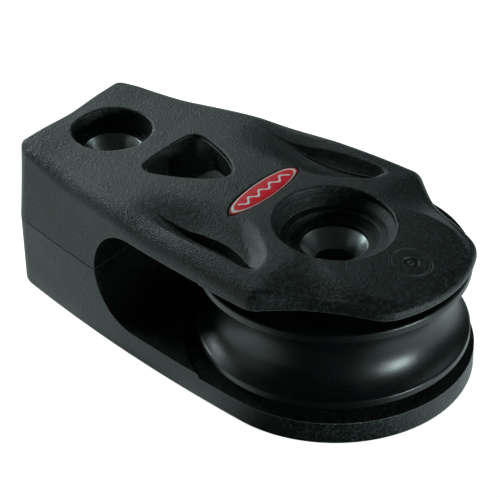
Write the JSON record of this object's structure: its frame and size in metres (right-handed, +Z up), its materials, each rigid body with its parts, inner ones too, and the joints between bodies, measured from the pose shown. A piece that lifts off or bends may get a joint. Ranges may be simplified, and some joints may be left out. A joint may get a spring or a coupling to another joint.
{
  "type": "single sheave block",
  "caption": "Low foot block for deck mounting: one ball-bearing sheave between two moulded cheeks, with countersunk screw holes fore and aft.",
  "frame": {"origin": "where the sheave's axis meets the deck face", "axes": "+X towards the round nose, +Z up from the deck along the sheave's axis, +Y across"},
  "size_m": [0.0714, 0.041, 0.0245],
  "materials": {
    "body_moulding": "matt black glass-filled nylon, fine spark texture",
    "sheave_moulding": "satin black acetal, faintly turned",
    "bearing_plastic": "satin dark acetal",
    "ball_plastic": "polished white acetal",
    "stainless": "satin stainless steel",
    "badge_enamel": "glossy red with a pale border"
  },
  "bodies": {
    "housing": {"base_shell": "body_moulding", "cover_shell": "body_moulding", "badge": "badge_enamel", "hub_lower_half": "bearing_plastic", "hub_upper_half": "bearing_plastic", "axle_tube": "stainless", "tail_tube": "stainless"},
    "sheave": {"sheave": "sheave_moulding"},
    "lower_ball_row": {"ball_lower_01": "ball_plastic", "ball_lower_02": "ball_plastic", "ball_lower_03": "ball_plastic", "ball_lower_04": "ball_plastic", "ball_lower_05": "ball_plastic", "ball_lower_06": "ball_plastic", "ball_lower_07": "ball_plastic", "ball_lower_08": "ball_plastic", "ball_lower_09": "ball_plastic", "ball_lower_10": "ball_plastic", "ball_lower_11": "ball_plastic", "ball_lower_12": "ball_plastic", "ball_lower_13": "ball_plastic", "ball_lower_14": "ball_plastic", "ball_lower_15": "ball_plastic"},
    "upper_ball_row": {"ball_upper_01": "ball_plastic", "ball_upper_02": "ball_plastic", "ball_upper_03": "ball_plastic", "ball_upper_04": "ball_plastic", "ball_upper_05": "ball_plastic", "ball_upper_06": "ball_plastic", "ball_upper_07": "ball_plastic", "ball_upper_08": "ball_plastic", "ball_upper_09": "ball_plastic", "ball_upper_10": "ball_plastic", "ball_upper_11": "ball_plastic", "ball_upper_12": "ball_plastic", "ball_upper_13": "ball_plastic", "ball_upper_14": "ball_plastic", "ball_upper_15": "ball_plastic"}
  },
  "joints": [
    {"name": "sheave_spin", "type": "hinge", "parent": "housing", "child": "sheave", "pos_m": [0, 0, 0.012], "axis": [0, 0, 1], "continuous": true},
    {"name": "lower_row_orbit", "type": "hinge", "parent": "housing", "child": "lower_ball_row", "pos_m": [0, 0, 0.0088], "axis": [0, 0, 1], "continuous": true},
    {"name": "upper_row_orbit", "type": "hinge", "parent": "housing", "child": "upper_ball_row", "pos_m": [0, 0, 0.0152], "axis": [0, 0, 1], "continuous": true}
  ],
  "couplings": [
    {"joint": "lower_row_orbit", "follows": "sheave_spin", "ratio": 0.59804},
    {"joint": "upper_row_orbit", "follows": "sheave_spin", "ratio": 0.59804}
  ]
}
